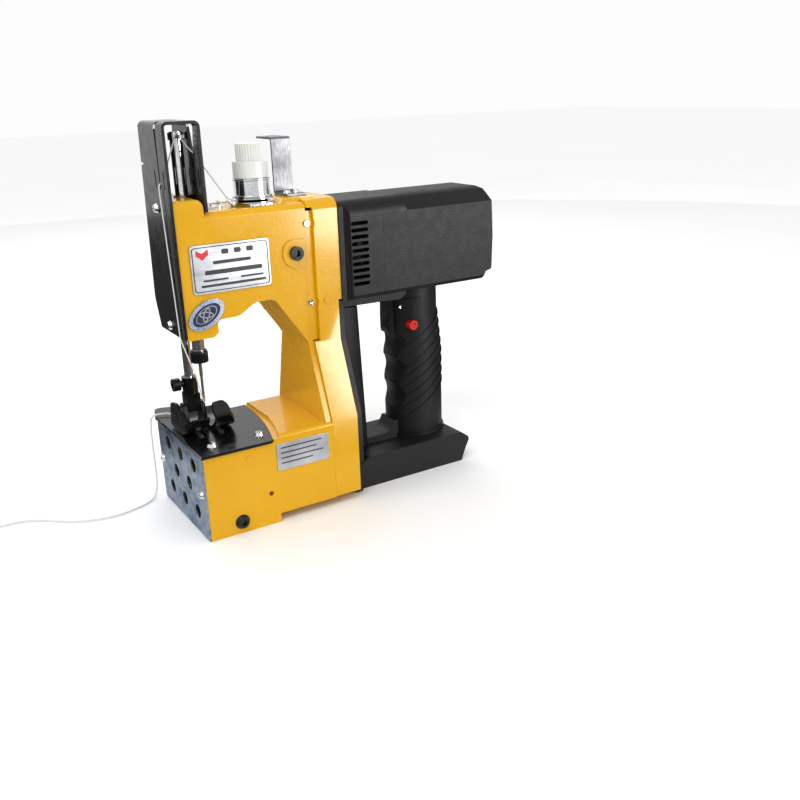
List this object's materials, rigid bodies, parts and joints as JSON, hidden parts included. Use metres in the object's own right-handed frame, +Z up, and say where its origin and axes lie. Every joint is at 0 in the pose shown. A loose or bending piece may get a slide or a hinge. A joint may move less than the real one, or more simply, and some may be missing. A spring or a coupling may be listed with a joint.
{
  "type": "bag closer sewing machine",
  "caption": "Portable chain-stitch sewing machine for closing bags: needle arm over a throat plate, belt drive, motor housing with a trigger grip and a battery foot.",
  "frame": {"origin": "on the floor plane the base stands on, straight below the needle bar's axis", "axes": "+X from the needle back to the motor, +Y to the side where the sewn work leaves, +Z up"},
  "size_m": [0.351, 0.1064, 0.2534],
  "materials": {
    "yellow_paint": "glossy enamel on cast aluminium",
    "grey_plastic": "fine moulded texture",
    "black_plastic": "satin",
    "red_plastic": "glossy",
    "steel": "machined",
    "brass": "machined",
    "belt_rubber": "matt",
    "bright_chrome": "polished plating",
    "black_metal": "glossy black oxide",
    "blued_steel": "mottled heat-treated steel",
    "white_nylon": "translucent nylon",
    "silver_plate": "satin printed plate",
    "badge_print": "blue printed badge with a silver rim",
    "thread": "twisted polyester"
  },
  "bodies": {
    "frame": {"main_casting": "yellow_paint", "arm_side_cover": "yellow_paint", "belt_cover": "yellow_paint", "front_housing": "grey_plastic", "rear_housing_near": "grey_plastic", "rear_housing_far": "grey_plastic", "rear_end_cap": "black_plastic", "spine_cover": "grey_plastic", "battery_foot": "grey_plastic", "battery_terminals": "brass", "grip_panel": "grey_plastic", "trigger_switch": "black_plastic", "motor_can": "steel", "shaft_bushes": "brass", "ball_bearing": "steel", "timing_belt": "belt_rubber", "bar_bushes": "brass", "presser_spring": "steel", "take_up_guard": "black_metal", "throat_plate": "black_metal", "end_cover": "blued_steel", "bottom_cover": "steel", "tension_post": "bright_chrome", "tension_discs": "bright_chrome", "tension_cup": "bright_chrome", "thread_bracket": "steel", "thread_guide": "bright_chrome", "name_plate": "silver_plate", "badge": "badge_print", "small_screws": "bright_chrome", "socket_screws": "black_metal", "upper_thread": "thread", "thread_tail": "thread"},
    "main_drive": {"main_shaft": "steel", "reduction_gear": "steel", "upper_pulley": "steel", "crank_disc": "steel"},
    "rotor": {"motor_rotor": "steel", "motor_pinion": "brass", "cooling_fan": "black_plastic"},
    "lower_drive": {"lower_shaft": "steel", "lower_pulley": "steel", "lower_cams": "steel"},
    "looper_arm": {"looper": "bright_chrome"},
    "feed_carriage": {"feed_bar": "steel"},
    "feed_lift": {"feed_dog": "steel"},
    "needle_set": {"needle_bar": "bright_chrome", "drive_block": "steel", "needle_clamp": "black_metal", "needle": "bright_chrome", "take_up_bar": "bright_chrome"},
    "crank_rod": {"connecting_rod": "steel"},
    "presser_set": {"presser_bar": "bright_chrome", "presser_collar": "steel", "foot_clamp": "black_metal"},
    "presser_sole": {"presser_foot": "black_metal"},
    "lifter": {"lifter_lever": "bright_chrome"},
    "trigger_body": {"trigger": "black_plastic"},
    "lock_body": {"lock_button": "red_plastic"},
    "knob_body": {"tension_knob": "white_nylon"}
  },
  "joints": [
    {"name": "main_shaft_spin", "type": "hinge", "parent": "frame", "child": "main_drive", "pos_m": [0.05, 0, 0.18], "axis": [1, 0, 0], "continuous": true},
    {"name": "motor_spin", "type": "hinge", "parent": "frame", "child": "rotor", "pos_m": [0.15, 0, 0.1608], "axis": [1, 0, 0], "continuous": true},
    {"name": "lower_shaft_spin", "type": "hinge", "parent": "frame", "child": "lower_drive", "pos_m": [0.05, 0, 0.04284], "axis": [1, 0, 0], "continuous": true},
    {"name": "looper_rock", "type": "hinge", "parent": "frame", "child": "looper_arm", "pos_m": [-0.009, 0, 0.02], "axis": [0, 1, 0], "range_deg": [-8, 8]},
    {"name": "feed_slide", "type": "slide", "parent": "frame", "child": "feed_carriage", "axis": [0, 1, 0], "range_m": [-0.0025, 0.0025]},
    {"name": "feed_rise", "type": "slide", "parent": "feed_carriage", "child": "feed_lift", "axis": [0, 0, 1], "range_m": [-0.0012, 0]},
    {"name": "needle_stroke", "type": "slide", "parent": "frame", "child": "needle_set", "axis": [0, 0, 1], "range_m": [-0.026, 0], "deforming": ["upper_thread"]},
    {"name": "crank_rod_pivot", "type": "hinge", "parent": "needle_set", "child": "crank_rod", "pos_m": [0.0065, 0, 0.168], "axis": [1, 0, 0], "range_deg": [-31.4, 31.4]},
    {"name": "lifter_turn", "type": "hinge", "parent": "frame", "child": "lifter", "pos_m": [0.0016, 0.02, 0.1609], "axis": [0, 1, 0], "range_deg": [0, 60]},
    {"name": "presser_lift", "type": "slide", "parent": "frame", "child": "presser_set", "axis": [0, 0, 1], "range_m": [0, 0.0056], "deforming": ["presser_spring"]},
    {"name": "foot_tilt", "type": "hinge", "parent": "presser_set", "child": "presser_sole", "pos_m": [-0.004, 0.013, 0.072], "axis": [-1, 0, 0], "range_deg": [0, 8]},
    {"name": "trigger_pull", "type": "slide", "parent": "frame", "child": "trigger_body", "axis": [1, 0, 0], "range_m": [0, 0.005], "stiffness_N_per_m": 500, "springref_m": -0.002},
    {"name": "lock_press", "type": "slide", "parent": "frame", "child": "lock_body", "axis": [0, 1, 0], "range_m": [0, 0.002], "stiffness_N_per_m": 300, "springref_m": -0.002},
    {"name": "knob_turn", "type": "hinge", "parent": "frame", "child": "knob_body", "pos_m": [0.043, -0.006, 0.22], "axis": [0, 0, 1], "range_deg": [-540, 540]}
  ],
  "couplings": [
    {"joint": "motor_spin", "follows": "main_shaft_spin", "ratio": -3},
    {"joint": "lower_shaft_spin", "follows": "main_shaft_spin", "ratio": 1},
    {"joint": "lifter_turn", "follows": "presser_lift", "rad_per_m": 187}
  ]
}
